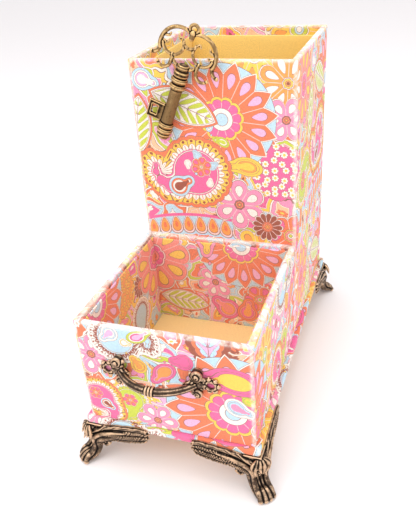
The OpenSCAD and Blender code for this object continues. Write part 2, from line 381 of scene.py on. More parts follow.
def rowGroup():
    # a hanging row of drops under a pink cord
    tree, (place,) = beginGroup("dropRow")
    x, y = split(place)
    turn = (x / 8.6).zigzag()
    sag = y + x * x * 0.004
    low = sag / 5.4
    across = turn * 4.3 / ((1 - low * 0.42) * 3.0)
    body = (low * low + across * across).math("SQRT")
    shade = coats(
        flat(tree, "sky"),
        (body.below(1.32), "ink"),
        (body.below(1.22), "blush"),
        (body.below(1.0), "ink"),
        (body.below(0.92), "orange"),
        (body.below(0.40), "coral"),
        ((sag - 7).math("ABSOLUTE").below(1.1), "hotPink"),
    )
    inside = sag.below(8) * (sag + roundTop(turn)).above(-7) * x.math("ABSOLUTE").below(32)
    return endGroup(tree, shade, inside)


flowers = {
    "dahlia": dict(petals=16, reach=35, valley=0.78, pointed=True, ring=13.5, petal="coral", drop="palePink",
                   frill="yellow", heart="hotPink", core="cream", eye="sky", back="sky", dropSize=0.25),
    "pinkFlower": dict(petals=9, reach=27, valley=0.78, ring=9, petal="salmon", drop="yellow",
                       frill="blush", heart="hotPink", core="salmon", eye="coral"),
    "butterfly": dict(petals=6, reach=15, valley=0.45, ring=2.6, petal="pink", drop="cream",
                      frill="ink", heart="coral", core="coral", eye="yellow"),
    "lily": dict(petals=8, reach=18, valley=0.6, ring=3.4, petal="orange", drop="cream",
                 frill="cream", heart="yellow", core="orange", eye="brown"),
    "brownDaisy": dict(petals=13, reach=10.5, valley=0.66, ring=3.6, petal="brown", drop="brown",
                       frill="coral", heart="coral", core="orange", eye="orange"),
    "redFlower": dict(petals=6, reach=14, valley=0.7, ring=4, petal="coral", drop="hotPink",
                      frill="yellow", heart="salmon", core="cream", eye="lime"),
    "yellowFlower": dict(petals=10, reach=22, valley=0.7, ring=7, petal="yellow", drop="orange",
                         frill="cream", heart="lime", core="sky", eye="cream"),
}
paisleys = {
    "paisley": dict(scallop="coral", petal="yellow", dot="brown", inner="cream", line="cream", field="hotPink"),
    "lacePaisley": dict(scallop="cream", petal="cream", dot="brown", inner="brown", line="cream", field="sky"),
    "limePaisley": dict(scallop="yellow", petal="cream", dot="coral", inner="lime", line="cream", field="lime"),
}
lenses = {
    "leafPanel": dict(border="coral", trim="cream", field="cream", leaf="lime"),
    "brownPanel": dict(border="brown", trim="coral", field="palePink", leaf="sky", scalloped=True),
}
daisies = {
    "daisies": dict(ground="hotPink", petal="cream", middle="yellow"),
    "daisyLace": dict(ground="orange", petal="yellow", middle="coral"),
}
makers = {flowerGroup: flowers, paisleyGroup: paisleys, lensGroup: lenses, daisyGroup: daisies}
motifs = {name: make(name, **facts) for make, group in makers.items() for name, facts in group.items()}
motifs["drop"] = dropGroup()
motifs["dropRow"] = rowGroup()
print("print motifs:", len(motifs))


def fillerPrint(tree, place):
    # what shows between the large motifs: nested pebbles, each with a small flower
    swirl = noise(tree, place, 0.055, 1.0, "Color").vector("SUBTRACT", (0.5, 0.5, 0.5))
    bent = place.vector("ADD", swirl.vector("MULTIPLY", (16, 16, 0)))
    size, unevenness = 13, 0.85
    pebble = cells(tree, bent, size, unevenness)
    edge = Wire(tree, cells(tree, bent, size, unevenness, "DISTANCE_TO_EDGE").outputs["Distance"]) * size
    first, second = split(Wire(tree, pebble.outputs["Color"]))
    near, turn = polar(bent.vector("SUBTRACT", Wire(tree, pebble.outputs["Position"])))
    petal = roundTop(ringOf(6, turn)) * 1.7 + 1.3 - near
    rings = ramp(first, ["sky", "pink", "yellow", "sky", "coral", "palePink", "lime", "peach"])
    fields = ramp(second, ["pink", "peach", "coral", "sky", "yellow", "hotPink", "palePink", "orange"])
    petals = ramp(first, ["cream", "coral", "hotPink", "orange", "cream", "yellow", "pink", "brown"])
    hearts = ramp(second, ["yellow", "coral", "cream", "brown"])
    return coats(
        flat(tree, "cream"),
        (edge, 0.4, rings, 0.25),
        (edge, 2.4, "cream", 0.2),
        (edge.above(2.95), fields),
        (petal, -0.25, petals, 0.25),
        (near.below(1.0), hearts),
    )


def motifLayers(tree, place, shade, layout):
    # each entry: motif, middle x, middle y, size, turn in degrees, then a drop's colours, or one for all four
    wide, high = printTile
    for motif, x, y, size, turn, *inks in layout:
        along, across = size if isinstance(size, tuple) else (size, size)
        around = place.vector("WRAP", (x + wide / 2, y + high / 2, 1), (x - wide / 2, y - high / 2, -1))
        settings = (around, (x, y, 0), (0, 0, math.radians(turn)), (along, across, 1))
        own = addNode(tree, "ShaderNodeMapping", settings, vector_type="TEXTURE")
        node = tree.nodes.new("ShaderNodeGroup")
        node.node_tree = motifs[motif]
        for value, socket in zip((own, *(inks * 4 if len(inks) == 1 else inks)), node.inputs):
            plug(tree, value, socket)
        shade = paint(shade, Wire(tree, node.outputs[1]), Wire(tree, node.outputs[0]))
    return shade


def newMaterial(name, **sockets):
    material = bpy.data.materials.new(name)
    material.use_nodes = True
    tree = material.node_tree
    tree.nodes.clear()
    shader = tree.nodes.new("ShaderNodeBsdfPrincipled")
    for key, value in sockets.items():
        shader.inputs[key].default_value = value
    end = tree.nodes.new("ShaderNodeOutputMaterial")
    tree.links.new(shader.outputs[0], end.inputs[0])
    return material, tree, shader


weave = {"pitch": 0.62, "shade": 0.14, "mottle": 0.5, "height": 0.06}


def bump(tree, shader, height, strength, depth):
    node = tree.nodes.new("ShaderNodeBump")
    node.inputs["Strength"].default_value = strength
    node.inputs["Distance"].default_value = depth * mm
    plug(tree, height, node.inputs["Height"])
    tree.links.new(node.outputs[0], shader.inputs["Normal"])


def cotton(name, layout=None, paintedBrightening=0.0, ink=None):
    # woven threads, over and under in a chequer with uneven thickness, on a print or a plain colour
    roughness, sheen = (0.82, 0.12) if layout else (0.85, 0.15)
    sockets = {"Roughness": roughness, "Sheen Weight": sheen, "Specular IOR Level": 0.3}
    material, tree, shader = newMaterial(name, **sockets)
    place = addNode(tree, "ShaderNodeUVMap", uv_map="fabric")
    if layout:
        shade = motifLayers(tree, place, fillerPrint(tree, place), layout)
        # folds and upright corners are painted towards cream, partly as rubbed wear and partly as a painted
        # highlight where light catches the rims
        wornLitFold = addNode(tree, "ShaderNodeAttribute", out="Fac", attribute_name="wornLitFold")
        wornLitPale = wornLitFold.math("POWER", 4.0) * (noise(tree, place, 0.35) * 1.25 - 0.16)
        # the inside copy is also painted paler towards cream all over, as painted light on the inner walls
        shade = paint(shade, wornLitPale + paintedBrightening, "cream")
    else:
        shade = flat(tree, ink)
    x, y = split(place)
    uneven = noise(tree, place, 1.1, 3.0)
    step = math.pi / weave["pitch"]
    cloth = (x * step + uneven * 1.2).math("SINE") * (y * step + uneven * 1.2).math("SINE") * 0.5 + 0.5
    # thread valleys are painted darker as painted shade between the threads; the uneven noise adds random
    # mottle
    keep = 1 - ((1 - cloth) * weave["shade"] + (0.56 - uneven) * weave["mottle"])
    lit = shade.vector("SCALE")
    plug(tree, keep, lit.socket.node.inputs["Scale"])
    plug(tree, lit, shader.inputs["Base Color"])
    bump(tree, shader, cloth + uneven * 0.8, 0.55, weave["height"])
    return material


printTile = (146, 132)
towerLayout = [
    ("yellowFlower", 78, 190, 1.0, 10),
    ("pinkFlower", 122, 166, 0.85, 15),
    ("limePaisley", 124, 104, 0.8, 200),
    ("redFlower", 124, 105, 0.5, 0),
    ("drop", 133, 106, 0.32, 20, "cream", "sky", "cream", "hotPink"),
    ("dropRow", 30, 78, 1.0, 4),
    ("lily", 97, 172, 1.0, 20),
    ("butterfly", 96, 151, 0.95, 5),
    ("butterfly", 66, 95, 1.2, 30),
    ("redFlower", 99, 76, 1.1, 10),
    ("daisies", 93, 118, 1.15, 0),
    ("leafPanel", 1, 143, 0.8, 80),
    ("dahlia", 57, 150, 1.0, 6),
    ("drop", 49, 150, (0.5, 0.42), 250, "sky", "cream", "sky", "sky"),
    ("drop", 57, 136, (0.45, 0.3), 150, "lime", "lime", "cream", "lime"),
    ("drop", 8, 173, 0.7, -40, "sky", "cream", "palePink", "cream"),
    ("leafPanel", 33, 157, 0.86, -24),
    ("drop", 72, 121, (1.0, 0.62), 168, "yellow", "yellow", "orange", "yellow"),
    ("paisley", 38, 115, 1.12, 0),
    ("drop", 40, 126, 0.3, 100, "sky"),
    ("drop", 49, 120, 0.3, 10, "sky"),
    ("redFlower", 42, 119, 0.5, 20),
    ("drop", 26, 105, 0.74, 8, "sky", "coral", "cream", "brown"),
    ("drop", 47, 108, 0.26, 60, "cream"),
    ("drop", 33, 121, 0.26, 250, "cream"),
    ("brownDaisy", 84, 81, 1.0, 0),
]
trayLayout = [
    ("pinkFlower", 124, 96, 0.9, 0),
    ("yellowFlower", 126, 46, 0.8, 30),
    ("butterfly", 8, 48, 1.0, 20),
    ("brownPanel", 78, 76, 0.95, 92),
    ("dahlia", 90, 22, 1.18, 4),
    ("drop", 92, 27, (0.75, 0.62), 320, "cream", "sky", "sky", "pink"),
    ("drop", 99, 33, (0.4, 0.3), 330, "lime", "lime", "yellow", "lime"),
    ("lacePaisley", 25, 62, 0.78, 182),
    ("drop", 22, 65, 0.52, 200, "cream", "sky", "cream", "palePink"),
    ("drop", 30, 60, 0.3, 330, "cream", "yellow", "cream", "cream"),
    ("drop", 38, 65, (0.66, 0.4), 20, "lime", "cream", "hotPink", "palePink"),
    ("drop", 52, 44, (0.8, 0.55), 215, "hotPink", "pink", "orange", "orange"),
    ("drop", 64, 53, 0.55, 160, "hotPink"),
    ("drop", 92, 45, (1.6, 0.9), 172, "hotPink", "hotPink", "yellow", "yellow"),
    ("drop", 37, 45, 0.5, 100, "yellow", "orange", "yellow", "orange"),
    ("limePaisley", 28, 18, 0.62, 60),
    ("redFlower", 28, 18, 0.36, 0),
    ("butterfly", 44, 6, 0.9, 0),
    ("paisley", 8, 16, 0.72, 100),
    ("redFlower", 6, 19, 0.34, 0),
    ("drop", 12, 12, 0.4, 300, "sky", "coral", "cream", "brown"),
    ("redFlower", 112, 12, 0.9, 0),
]
liningLayout = [
    ("butterfly", 44, 34, 0.9, 15),
    ("lacePaisley", -32, 22, 0.62, 60),
    ("daisyLace", -52, 52, 1.0, 0),
    ("brownDaisy", -28, 44, 0.9, 0),
    ("dahlia", 63, 64, 0.94, 4),
    ("drop", 61, 68, (0.5, 0.42), 200, "cream", "sky", "cream", "sky"),
    ("pinkFlower", -1, 50, 1.05, 8),
    ("leafPanel", 20, 16, 0.7, -8),
    ("drop", 40, 70, (1.1, 0.8), 250, "pink", "yellow", "yellow", "yellow"),
    ("redFlower", 75, 24, 0.85, 0),
    ("drop", 52, 13, 0.85, 120, "hotPink", "pink", "orange", "salmon"),
    ("drop", 66, 12, 0.75, 60, "coral", "salmon", "hotPink", "orange"),
]
cloths = {
    "tower": cotton("printedCottonTower", towerLayout),
    "tray": cotton("printedCottonTray", trayLayout),
    # painted paler than the outside print, as painted light on the inner walls
    "inside": cotton("printedCottonInside", liningLayout, 0.06),
    "yellow": cotton("yellowLining", ink="lining"),
    "peach": cotton("peachLining", ink="peachLining"),
    "under": cotton("underLining", ink="underLining"),
}
print("cloths:", ", ".join(cloths))


# Mesh helpers


def newMesh(name, points, faces):
    mesh = bpy.data.meshes.new(name)
    mesh.from_pydata([tuple(map(float, p)) for p in points], [], faces)
    mesh.update()
    return mesh


def addPiece(name, mesh, material, node):
    mesh.materials.append(material)
    mesh.polygons.foreach_set("use_smooth", [True] * len(mesh.polygons))
    piece = bpy.data.objects.new(name, mesh)
    scene.collection.objects.link(piece)
    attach(piece, "root")
    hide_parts(node)
    return piece


def storeValue(mesh, name, values):
    layer = mesh.attributes.new(name, "FLOAT", "POINT")
    layer.data.foreach_set("value", values.astype(np.float32).ravel())


def nodeBox(node):
    low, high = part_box(node)
    return np.array(low) / mm, np.array(high) / mm


def unit(rows):
    return rows / np.linalg.norm(rows, axis=1)[:, None]


def travelOf(points):
    return np.concatenate([[0], np.cumsum(np.linalg.norm(np.diff(points, axis=0), axis=1))])


def ripple(a, b, size):
    return size * (0.5 + 0.25 * np.sin(a / 9.1 + 1.3 * np.sin(b / 17.0)) + 0.25 * np.sin(b / 7.3 + a / 31.0))


def quads(rows, wide, ring=False):
    # faces between rows of points; each row closes on itself, and in a ring the last row meets the first
    faces = []
    for i in range(rows if ring else rows - 1):
        here, there = i * wide, (i + 1) % rows * wide
        faces += [(here + k, here + (k + 1) % wide, there + (k + 1) % wide, there + k) for k in range(wide)]
    return faces


# Covers: printed cotton glued over board

cover = {
    "thick": 0.5,
    "corner": 1.3,
    "bend": 0.9,
    "plateCorner": 1.5,
    "plateBend": 1.1,
    "wall": 3.6,
    "turnIn": 12.0,
    "turnUnder": 15.0,
    "overlap": 12,
    "step": 2.4,
    "ripple": 0.22,
    "rippleFrom": 2,
    "rippleGrows": 8,
    # folds this far below the rim top and higher get the pale mark: partly rubbed wear, partly a painted
    # highlight
    "wornLitRim": 2,
}


def roundedPath(corners, radius):
    # follows the corners with rounded bends, in points about one step apart
    corners = [np.array(c, float) for c in corners]
    stops = [corners[0]]
    for before, here, after in zip(corners, corners[1:], corners[2:]):
        into = (here - before) / np.linalg.norm(here - before)
        away = (after - here) / np.linalg.norm(after - here)
        start, end = here - into * radius, here + away * radius
        for t in np.linspace(0, 1, 6):
            stops.append((1 - t) ** 2 * start + 2 * t * (1 - t) * here + t * t * end)
    stops.append(corners[-1])
    path = [stops[0]]
    for a, b in zip(stops, stops[1:]):
        count = max(1, int(np.linalg.norm(b - a) // cover["step"]))
        path += [a + (b - a) * i / count for i in range(1, count + 1)]
    return np.array(path)


def clothPath(corners, bend, thick, start=0):
    # rows of (inset, height, distance along the cloth), out along its face and back along its other side
    path = roundedPath(corners, bend)
    way = unit(np.gradient(path, axis=0))
    inner = path + np.stack([-way[:, 1], way[:, 0]], 1) * -thick
    lengths = travelOf(path) - start
    return np.column_stack([np.vstack([path, inner[::-1]]), np.concatenate([lengths, lengths[::-1]])])


def outline(half, radius, inset):
    # a rounded rectangle from its front left corner, anticlockwise from above, and the way round to each point
    keep = 0.12
    r = max(radius - inset, keep)
    inner = half - max(radius, inset + keep)
    signs = np.array([(-1, -1), (1, -1), (1, 1), (-1, 1)])
    points, travel, gone = [], [], 0.0
    for k, out in enumerate(np.array([(0, -1), (1, 0), (0, 1), (-1, 0)])):
        along = half[k % 2] - radius
        start, end = signs[k] * inner, signs[(k + 1) % 4] * inner
        count = max(4, round(2 * along / cover["step"]))
        for i in range(count + 1):
            points.append(start + (end - start) * i / count + out * r)
            travel.append(gone + radius + 2 * along * i / count)
        gone += 2 * along + 2 * radius
        for i in range(1, 4):
            a = math.radians(-90 + 90 * k + 22.5 * i)
            points.append(end + r * np.array([math.cos(a), math.sin(a)]))
            travel.append(gone + radius * (i / 4 * 2 - 1))
    return np.array(points), np.array(travel), gone


def sweptShell(name, node, path, radius, wave, wornLitFrom, material):
    # sweeps the path round the node's box; folds above one height and upright corners are marked pale, partly
    # as rubbed wear and partly as a painted highlight
    low, high = nodeBox(node)
    half, middle = (high - low)[:2] / 2, (high + low)[:2] / 2
    border, travel, total = outline(half, radius, 0)
    rows = [outline(half, radius, inset)[0] + middle for inset in path[:, 0]]
    grid = np.dstack([rows, np.tile(path[:, 1:2], (1, len(border)))])
    out = unit(border - outline(half, radius, 0.5)[0])
    lengths = path[:, 2]
    above, grows = grid[:, :, 2] - grid[:, :, 2].min() - cover["rippleFrom"], cover["rippleGrows"]
    swell = ripple(travel[None], lengths[:, None], wave) * np.clip(above, 0, grows) / grows
    grid[:, :, :2] += out[None] * swell[:, :, None]
    way = np.diff(path[:, :2], axis=0, append=path[:1, :2])
    way /= np.linalg.norm(way, axis=1)[:, None] + 1e-9
    # rim folds and upright corners get the pale mark: partly rubbed wear, partly a painted highlight
    atBend = ((way * np.roll(way, 1, axis=0)).sum(1) < 0.995) & (path[:, 1] > wornLitFrom)
    atCorner = np.abs(np.abs(border) - half).max(1) <= radius + 1e-6
    mesh = newMesh(name, grid.reshape(-1, 3) * mm, quads(*grid.shape[:2], ring=True))
    corners = [
        spot
        for here, there in zip(lengths, np.roll(lengths, -1))
        for a, b in zip(travel, np.append(travel[1:], total + travel[0]))
        for spot in ((a, here), (b, here), (b, there), (a, there))
    ]
    mesh.uv_layers.new(name="fabric").data.foreach_set("uv", np.asarray(corners, np.float32).ravel())
    storeValue(mesh, "wornLitFold", atBend[:, None] | atCorner[None])
    return addPiece(name, mesh, material, node)


def boxCover(name, node, material):
    low, high = nodeBox(node)
    wall, under = cover["wall"], cover["turnUnder"]
    corners = [(under, low[2]), (0, low[2]), (0, high[2]), (wall, high[2]), (wall, high[2] - cover["turnIn"])]
    path = clothPath(corners, cover["bend"], cover["thick"], under)
    # above this height the folds are painted pale: partly rubbed wear, partly a painted highlight
    wornLitFrom = high[2] - cover["wornLitRim"]
    piece = sweptShell(name, node, path, cover["corner"], cover["ripple"], wornLitFrom, material)
    around = 2 * (high - low)[:2].sum() + cover["overlap"]
    tall = high[2] - low[2] + wall + cover["turnIn"] + under
    around * mm
    tall * mm
    return piece


towerCover = boxCover("towerCover", "tall_cover", cloths["tower"])
trayCover = boxCover("trayCover", "tray_cover", cloths["tray"])
print("box covers:", len(towerCover.data.polygons), len(trayCover.data.polygons), "faces")


def baseCover():
    low, high = nodeBox("base_cover")
    deep = ((high - low)[:2] / 2).min() - 0.3
    corners = [(deep, high[2]), (0, high[2]), (0, low[2]), (cover["turnUnder"], low[2])]
    path = clothPath(corners, cover["plateBend"], -cover["thick"])
    # no fold on the plate gets the pale mark of wear and painted highlight; only its upright corners do
    noWornLitFolds = high[2] + 1
    piece = sweptShell("baseCover", "base_cover", path, cover["plateCorner"], 0, noWornLitFolds, cloths["tray"])


baseCover()
print("base cover: done")


# Liner panels: thin board wrapped in cloth

liner = {"bevel": 0.5, "step": 5.0, "ripple": 0.16, "rippleGrows": 6, "wrap": 0.7}


def linerPanel(node, material, across, start):
    # across: the axes that the print runs along and up; start: its place at the low corner, and its direction
    low, high = nodeBox(node)
    size, centre = high - low, (low + high) / 2
    thin = int(np.argmin(size))
    runs, rises = across
    bm = bmesh.new()
    bmesh.ops.create_cube(bm, size=1)
    for v in bm.verts:
        v.co = low + size * (np.array(v.co) + 0.5)
    for axis in (k for k in range(3) if k != thin):
        count = max(2, int(size[axis] / liner["step"]))
        for i in range(1, count):
            cut = low.copy()
            cut[axis] += size[axis] * i / count
            whole = bm.verts[:] + bm.edges[:] + bm.faces[:]
            bmesh.ops.bisect_plane(bm, geom=whole, plane_co=tuple(cut), plane_no=tuple(np.eye(3)[axis]))
    sharp = [e for e in bm.edges if len(e.link_faces) == 2 and e.calc_face_angle() > 1]
    bmesh.ops.bevel(bm, geom=sharp, offset=liner["bevel"], segments=3, affect="EDGES", profile=0.5)
    for v in bm.verts:
        side = 1 if v.co[thin] > centre[thin] else -1
        if abs(v.co[thin] - centre[thin]) > size[thin] / 2 - 0.05:
            near = min(min(v.co[k] - low[k], high[k] - v.co[k]) for k in range(3) if k != thin)
            lift = ripple(v.co[runs], v.co[rises], liner["ripple"]) - liner["ripple"]
            v.co[thin] += side * lift * min(1, near / liner["rippleGrows"])
    layer = bm.loops.layers.uv.new("fabric")
    for loop in (loop for face in bm.faces for loop in face.loops):
        p = loop.vert.co
        extra = (p[thin] - centre[thin]) * liner["wrap"]
        along = start[0] + start[2] * (p[runs] - low[runs])
        loop[layer].uv = (along + extra, start[1] + p[rises] - low[rises] + extra)
    for v in bm.verts:
        v.co *= mm
    mesh = bpy.data.meshes.new(node)
    bm.to_mesh(mesh)
    bm.free()
    addPiece(node + "Cloth", mesh, material, node)


backLow, backHigh = nodeBox("tray_back_liner")
sideLow, sideHigh = nodeBox("tray_left_liner")
linerWide, linerDeep = backHigh[0] - backLow[0], sideHigh[1] - sideLow[1]
panels = {
    "tray_back_liner": ("inside", "printed_cotton", (0, 2), (0, 0, 1)),
    "tray_left_liner": ("inside", "printed_cotton", (1, 2), (-linerDeep, 0, 1)),
    "tray_right_liner": ("inside", "printed_cotton", (1, 2), (linerWide + linerDeep, 0, -1)),
    "tray_front_liner": ("inside", "printed_cotton", (0, 2), (3 * linerWide, 0, -1)),
    "tray_floor_liner": ("peach", "peach_lining", (0, 1), (0, 0, 1)),
    "tall_front_liner": ("yellow", "yellow_lining", (0, 2), (0, 0, 1)),
    "tall_back_liner": ("yellow", "yellow_lining", (0, 2), (0, 0, 1)),
    "tall_left_liner": ("yellow", "yellow_lining", (1, 2), (0, 0, 1)),
    "tall_right_liner": ("yellow", "yellow_lining", (1, 2), (0, 0, 1)),
    "tall_floor_liner": ("yellow", "yellow_lining", (0, 1), (0, 0, 1)),
    "base_underside_liner": ("under", "yellow_lining", (0, 1), (0, 0, 1)),
}
for node, (cloth, slotName, across, start) in panels.items():
    linerPanel(node, cloths[cloth], across, start)
print("liner panels:", len(panels))


# Boards


def chipboardMaterial():
    material, tree, shader = newMaterial("chipboard", **{"Roughness": 0.9, "Specular IOR Level": 0.25})
    speck = noise(tree, addNode(tree, "ShaderNodeTexCoord", out="Object"), 900, 4, dimensions="3D")
    plug(tree, ramp(speck, ["boardDark", "boardPale"], [0.35, 0.7]), shader.inputs["Base Color"])
    bump(tree, shader, speck, 0.4, 0.1)
    return material


board = chipboardMaterial()
for name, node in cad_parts.items():
    if name.endswith("_board"):
        node.data.materials.clear()
        node.data.materials.append(board)
print("boards: chipboard finish")


# Cast metal: fluted tubes and relief, fused and worn

tubeStep = 0.3


def smoothLine(points):
    p = np.array(points, float)
    p = np.vstack([2 * p[0] - p[1], p, 2 * p[-1] - p[-2]])
    line = []
    for a, b, c, d in zip(p, p[1:], p[2:], p[3:]):
        count = max(2, int(np.linalg.norm((c - b)[:3]) / tubeStep))
        t = np.linspace(0, 1, count, endpoint=False)[:, None]
        cubic = (2 * a - 5 * b + 4 * c - d) * t**2 + (3 * b - a - 3 * c + d) * t**3
        line.append(0.5 * (2 * b + (c - a) * t + cubic))
    line.append(p[-2][None])
    return np.vstack(line)


def capped(rows):
    # closed outlines joined in order, with a flat face over each end
    count, wide = len(rows), len(rows[0])
    ends = [tuple(range(wide))[::-1], tuple((count - 1) * wide + k for k in range(wide))]
    return np.vstack(rows), quads(count, wide) + ends


def tube(points, up=(0, 0, 1), wide=1.0, flutes=0, groove=0.0, pitch=0.0, ridge=0.0, sides=22):
    # points: x, y, z, radius. The ends are round; flutes run along it and ridges run round it
    line = smoothLine(points)
    centre, radius = line[:, :3], np.maximum(line[:, 3], 0.05)
    way = unit(np.gradient(centre, axis=0))
    run = travelOf(centre)

    def dome(k, sense):
        angles = [math.radians(a) for a in (80, 60, 40, 20)][::-sense]
        spots = [centre[k] + sense * way[k] * radius[k] * math.sin(a) for a in angles]
        return [(spot, radius[k] * math.cos(a), way[k], run[k]) for spot, a in zip(spots, angles)]

    side = np.cross(way[0], up)
    if np.linalg.norm(side) < 0.1:
        side = np.cross(way[0], (1, 0.2, 0))
    phi = np.linspace(0, 2 * math.pi, sides, endpoint=False)
    rows = []
    for spot, r, w, at in dome(0, -1) + list(zip(centre, radius, way, run)) + dome(-1, 1):
        side = side - w * np.dot(side, w)
        side /= np.linalg.norm(side)
        over = np.cross(side, w)
        size = r * (1 + groove * np.cos(flutes * phi))
        if pitch:
            size = size * (1 + ridge * math.cos(2 * math.pi * at / pitch))
        rows.append(spot + np.outer(size * np.cos(phi) * wide, side) + np.outer(size * np.sin(phi), over))
    return capped(rows)


def slab(corners, low, high):
    return capped([np.array([(x, y, z) for x, y in corners], float) for z in (low, high)])


def turned(profile, sides=72):
    # profile: (radius, height) turned round z
    phi = np.linspace(0, 2 * math.pi, sides, endpoint=False)
    return capped([np.column_stack([r * np.cos(phi), r * np.sin(phi), np.full(sides, z)]) for r, z in profile])


def readValues(items, name, size=3, kind=np.float32):
    values = np.zeros(len(items) * size, kind)
    items.foreach_get(name, values)
    return values.reshape(-1, size)


def cast(name, parts, voxel, level=0.3):
    # fuses closed parts into one skin, then marks its raised and its sunk places
    points, faces, start = [], [], 0
    for p, f in parts:
        points.append(p)
        faces += [tuple(start + i for i in face) for face in f]
        start += len(p)
    block = bpy.data.objects.new(name + "Raw", newMesh(name + "Raw", np.vstack(points), faces))
    scene.collection.objects.link(block)
    fuse = block.modifiers.new("fuse", "REMESH")
    fuse.mode = "VOXEL"
    fuse.voxel_size = voxel
    mesh = bpy.data.meshes.new_from_object(block.evaluated_get(bpy.context.evaluated_depsgraph_get()))
    bpy.data.objects.remove(block)
    co = readValues(mesh.vertices, "co").astype(float)
    a, b = readValues(mesh.edges, "vertices", 2, np.int32).T
    degree = np.bincount(a, minlength=len(co)) + np.bincount(b, minlength=len(co))

    def relax(values):
        sums = [np.bincount(a, v[b], len(co)) + np.bincount(b, v[a], len(co)) for v in values.T]
        return np.stack(sums, 1) / np.maximum(degree, 1)[:, None]

    co = co * 0.5 + relax(co) * 0.5
    mesh.vertices.foreach_set("co", co.astype(np.float32).ravel())
    mesh.update()
    normals = readValues(mesh.vertices, "normal")
    wear = np.zeros(len(co))
    soft = co
    for reach in (5, 14):
        for _ in range(reach):
            soft = relax(soft)
        height = ((co - soft) * normals).sum(1)
        around = height[:, None]
        for _ in range(24):
            around = relax(around)
        height -= level * around[:, 0]
        wear += height / (np.percentile(np.abs(height), 92) + 1e-9)
    storeValue(mesh, "wear", np.clip(wear * 0.30 + 0.48, 0, 1))
    return mesh


def placeCast(name, mesh, matrix, material, node):
    mesh = mesh.copy()
    mesh.name = name
    mesh.transform(matrix @ Matrix.Scale(mm, 4))
    addPiece(name, mesh, material, node)


def antiqueMaterial(name, inks, shift):
    # dark where sunk, bright where worn, with fine and coarse mottling
    material, tree, shader = newMaterial(name, **{"Metallic": 0.85, "Specular IOR Level": 0.5})
    place = addNode(tree, "ShaderNodeTexCoord", out="Object")
    coarse = noise(tree, place, 260, 5, dimensions="3D")
    fine = noise(tree, place, 1400, 3, dimensions="3D")
    worn = addNode(tree, "ShaderNodeAttribute", out="Fac", attribute_name="wear")
    level = worn + (coarse - 0.5) * 0.5 + (fine - 0.5) * 0.4 + shift
    plug(tree, ramp(level, inks, [0.26, 0.44, 0.58, 0.80]), shader.inputs["Base Color"])
    plug(tree, level.math("MULTIPLY_ADD", -0.45, 0.66) + fine * 0.12, shader.inputs["Roughness"])
    bump(tree, shader, fine + coarse * 0.5, 0.35, 0.08)
    return material


antique = antiqueMaterial("antiqueBronze", ["bronzeDark", "bronze", "bronze", "copper"], -0.09)
antiqueKey = antiqueMaterial("antiqueBrass", ["brassDark", "brass", "brass", "brassBright"], -0.07)


# Feet: a winged paw at each corner, drawn with the plate's corner at the origin.
# x and y run inward along the two edges, z is up from the floor

foot = {
    "high": 28.6,
    "wing": 41.5,
    "wingTop": [(-1, -4.2), (4, -3.6), (8, -1.8), (12, 1.0), (20, 2.7), (33, 4.2), (39, 4.0), (41, 2.6),
                (42, 1.2)],
    "wingEdge": [(-1, -13), (5, -12.8), (11, -12.2), (18, -10.6), (26, -9.8), (34, -8.2), (38, -6.8),
                 (41, -4.2), (42, -2.4)],
    "featherGap": 7.3,
    "scaleRows": 2.7,
    "rim": 2.9,
    "voxel": 0.27,
    "toes": 4,
    "toeGap": 2.75,
    "toeSize": 1.85,
    "reach": 7.5,
    "sole": 0.25,
}


def swapSides(route):
    return [(y, x, z, size) for x, y, z, size in route]


def wing(swap):
    s, t = np.linspace(-0.4, foot["wing"], 170), np.linspace(0, 1, 64)
    S, T = np.meshgrid(s, t, indexing="ij")
    left = foot["wing"] - S
    top = foot["high"] + np.interp(s, *np.transpose(foot["wingTop"]))
    top = top + 0.35 * np.abs(np.sin((s - 2) * math.pi / foot["featherGap"]))
    low = foot["high"] + np.interp(s, *np.transpose(foot["wingEdge"]))
    low = low - 0.35 * np.abs(np.sin(s * math.pi / 3.7)) * np.clip((s - 8) / 6, 0, 1)
    Z = top[:, None] * (1 - T) + low[:, None] * T
    down = top[:, None] - Z
    share = (down - foot["rim"]) / np.maximum((top - low)[:, None] - foot["rim"], 0.5)
    within = np.clip(share, 0, 1)
    leafy = np.abs(np.sin(math.pi * (S + down * 2.6 + 0.6 * np.sin(S / 3.1)) / foot["featherGap"])) ** 0.6
    rim = np.sqrt(np.clip(1 - ((down - 1.5) / 1.6) ** 2, 0, 1))
    rim = rim * (1.3 + 0.7 * (leafy - 0.5) * np.clip((26 - S) / 14, 0.2, 1))
    rows = within**0.9 * foot["scaleRows"]
    drift = S / 1.5 + 0.3 * np.sin(S / 1.9 + 2.4 * rows)
    beads = np.cos(2 * math.pi * drift) * np.cos(math.pi * (down / 1.05 + 0.3 * np.sin(S / 1.3)))
    relief = 0.45 + 0.95 * (0.5 + 0.5 * beads)
    scales = np.abs(np.sin(math.pi * rows)) ** 0.6 * relief * np.clip(share * 8, 0, 1)
    bulge = np.sin(math.pi * within) * np.clip(left / 14, 0.25, 1)
    out = 0.95 + np.where(down < 3.05, rim, 0) + (scales * 0.8 + bulge) * (share > 0)
    edge = np.clip(left / 1.2, 0, 1) * np.clip(T * 40, 0.3, 1) * np.clip((1 - T) * 14, 0.35, 1)
    out = 0.5 + (out - 0.5) * edge
    ragged = 1.3 * np.abs(np.sin(Z * math.pi / 3.2)) * np.clip((4 - left) / 4, 0, 1)
    front = np.stack([S - ragged, -out, Z], -1)
    back = np.stack([S - ragged, np.full_like(S, -0.06), Z], -1)
    n, m = S.shape
    points = np.hstack([front, back[:, ::-1]]).reshape(-1, 3)
    faces = quads(n, 2 * m)
    for start, order in ((0, -1), ((n - 1) * 2 * m, 1)):
        for j in range(m - 1):
            faces.append(tuple(start + k for k in (j, j + 1, 2 * m - 2 - j, 2 * m - 1 - j))[::order])
    if swap:
        points, faces = points[:, [1, 0, 2]], [f[::-1] for f in faces]
    return points, faces


def onDiagonal(*spots):
    # r outward along the diagonal, w across it
    return [((-r + w) / math.sqrt(2), (-r - w) / math.sqrt(2), z, size) for r, w, z, size in spots]


